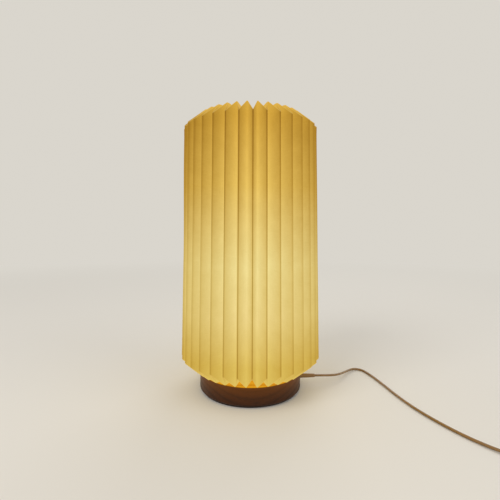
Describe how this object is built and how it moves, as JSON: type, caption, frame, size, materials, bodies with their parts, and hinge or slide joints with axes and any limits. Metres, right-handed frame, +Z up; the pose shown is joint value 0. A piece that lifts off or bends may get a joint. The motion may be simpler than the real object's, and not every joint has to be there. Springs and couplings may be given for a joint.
{
  "type": "pleated paper table lamp",
  "caption": "Table lamp with a tall pleated paper column shade on a round dark wooden base, a screw-in bulb inside, and a thin lead with in-line switch and plug.",
  "frame": {"origin": "centre of the wooden base on the table, without the cord and what is on it", "axes": "+Z up, -Y towards the viewer, +X the side where the cord leaves"},
  "size_m": [0.4609, 0.2646, 0.3612],
  "materials": {
    "shade_paper": "thin pleated paper lit from inside, warm cream",
    "walnut": "dark oiled hardwood, fine straight grain",
    "felt": "pressed dark felt",
    "zinc_steel": "zinc plated steel",
    "white_wire": "white powder coated wire",
    "holder_plastic": "white heat-proof plastic",
    "ceramic_insert": "unglazed white ceramic",
    "brass_contact": "drawn brass",
    "bulb_frosted": "frosted translucent plastic, lit",
    "bulb_white": "white moulded plastic",
    "bulb_nickel": "rolled bright metal",
    "bulb_black": "black insulating glass",
    "led_plate": "white coated aluminium",
    "led_phosphor": "yellow phosphor, lit",
    "circuit_board": "green circuit board",
    "driver_dark": "dark electronic parts",
    "cord_amber": "smooth glossy amber lead",
    "brown_plastic": "brown moulded plastic",
    "rocker_plastic": "darker brown moulded plastic",
    "brown_wire": "brown wire insulation",
    "blue_wire": "blue wire insulation",
    "tie_rubber": "dark moulded rubber strap"
  },
  "bodies": {
    "lamp_base": {"wooden_base": "walnut", "felt_pad": "felt", "base_cover": "zinc_steel", "cover_screws": "zinc_steel", "threaded_tube": "zinc_steel", "tube_nut": "zinc_steel", "tube_washer": "zinc_steel", "holder_cap": "holder_plastic", "holder_skirt": "holder_plastic", "holder_insert": "ceramic_insert", "screw_sleeve": "brass_contact", "centre_contact": "brass_contact", "terminal_screws": "zinc_steel", "inner_lead": "cord_amber", "strain_relief": "cord_amber", "cord_clamp": "brown_plastic", "clamp_screws": "zinc_steel", "live_wire": "brown_wire", "neutral_wire": "blue_wire", "lamp_cord": "cord_amber", "coil_cord": "cord_amber", "plug_cord": "cord_amber", "cord_coil": "cord_amber", "cord_ties": "tie_rubber", "switch_lower_case": "brown_plastic", "switch_upper_case": "brown_plastic", "switch_screws": "zinc_steel", "switch_contacts": "brass_contact", "switch_wires": "brown_wire", "plug_body": "brown_plastic", "plug_pins": "brass_contact", "pin_sleeves": "bulb_black"},
    "shade": {"pleated_shade": "shade_paper", "shade_top_ring": "white_wire", "shade_carrier": "white_wire"},
    "bulb_contact": {"bulb_tip": "bulb_nickel"},
    "bulb": {"bulb_insulator": "bulb_black", "bulb_cap": "bulb_nickel", "bulb_housing": "bulb_white", "bulb_diffuser": "bulb_frosted", "led_board": "led_plate", "led_chips": "led_phosphor", "driver_board": "circuit_board", "driver_parts": "driver_dark"},
    "rocker": {"switch_rocker": "rocker_plastic"}
  },
  "joints": [
    {"name": "shade_lift", "type": "slide", "parent": "lamp_base", "child": "shade", "axis": [0, 0, 1], "range_m": [0, 0.17]},
    {"name": "bulb_rise", "type": "slide", "parent": "lamp_base", "child": "bulb_contact", "axis": [0, 0, 1], "range_m": [0, 0.0146]},
    {"name": "bulb_turn", "type": "hinge", "parent": "bulb_contact", "child": "bulb", "pos_m": [0, 0, 0.08], "axis": [0, 0, 1], "range_deg": [0, 1440]},
    {"name": "switch_rock", "type": "hinge", "parent": "lamp_base", "child": "rocker", "pos_m": [0.291, -0.163, 0.0113], "axis": [0, 1, 0], "range_deg": [0, 24]}
  ],
  "couplings": [
    {"joint": "bulb_rise", "follows": "bulb_turn", "m_per_rad": 0.00057773}
  ]
}
